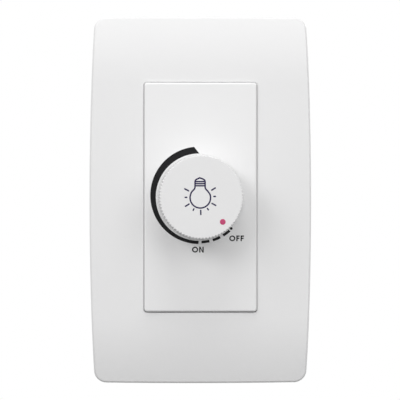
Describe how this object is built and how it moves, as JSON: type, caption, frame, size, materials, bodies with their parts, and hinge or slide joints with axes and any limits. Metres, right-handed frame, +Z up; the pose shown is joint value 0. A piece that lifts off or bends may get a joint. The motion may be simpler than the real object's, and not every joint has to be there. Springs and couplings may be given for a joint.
{
  "type": "rotary dimmer switch",
  "caption": "White wall-plate dimmer: barrel-sided cover plate, flush rectangular insert and a finely ribbed round knob that turns from off to full brightness.",
  "frame": {"origin": "on the knob's axis at the wall plane, midway between the two wall-box screw slots", "axes": "+X right, +Z up, the front faces -Y and the housing goes into the wall along +Y"},
  "size_m": [0.0704, 0.0437, 0.1168],
  "materials": {
    "plate_white": "white moulded plastic, satin",
    "insert_white": "white moulded plastic, satin",
    "knob_white": "white moulded plastic, satin",
    "frame_grey": "grey moulded plastic",
    "housing_grey": "pale grey heat-resistant plastic",
    "screw_steel": "zinc-plated steel",
    "board_laminate": "paper laminate, tan",
    "sink_aluminium": "mill-finish sheet",
    "triac_epoxy": "black moulding compound",
    "tinned_copper": "tinned copper",
    "ferrite": "sintered ferrite",
    "copper_wire": "enamelled copper wire in layers",
    "capacitor_yellow": "yellow moulded box",
    "capacitor_red": "dipped film capacitor",
    "resistor_tan": "lacquered film resistor",
    "diac_blue": "glass-sealed diode body, coated",
    "terminal_green": "green polyamide",
    "clamp_brass": "plain brass",
    "pot_metal": "plated steel and zinc",
    "phenolic_brown": "phenolic sheet",
    "switch_black": "black thermoset",
    "shaft_aluminium": "turned bar",
    "spring_bronze": "phosphor bronze sheet",
    "spring_steel": "spring steel"
  },
  "bodies": {
    "dimmer": {"cover_plate": "plate_white", "face_insert": "insert_white", "mounting_frame": "frame_grey", "rear_housing": "housing_grey", "housing_screws": "screw_steel", "triac_screw": "screw_steel", "triac_nut": "screw_steel", "terminal_screws": "screw_steel", "circuit_board": "board_laminate", "heat_sink": "sink_aluminium", "triac_body": "triac_epoxy", "triac_tab": "tinned_copper", "pot_lugs": "tinned_copper", "switch_pins": "tinned_copper", "choke_core": "ferrite", "choke_winding": "copper_wire", "suppression_capacitor": "capacitor_yellow", "timing_capacitor": "capacitor_red", "resistors": "resistor_tan", "diac": "diac_blue", "terminal_block": "terminal_green", "terminal_clamps": "clamp_brass", "pot_bushing": "pot_metal", "pot_washer": "pot_metal", "pot_nut": "pot_metal", "pot_can": "pot_metal", "pot_wafer": "phenolic_brown", "snap_switch": "switch_black"},
    "knob_and_shaft": {"knob": "knob_white", "knob_spring": "spring_steel", "pot_shaft": "shaft_aluminium", "pot_rotor": "switch_black", "pot_wiper": "spring_bronze", "retaining_clip": "spring_steel"}
  },
  "joints": [
    {"name": "knob_turn", "type": "hinge", "parent": "dimmer", "child": "knob_and_shaft", "pos_m": [0, 0, 0], "axis": [0, 1, 0], "range_deg": [0, 220]}
  ]
}
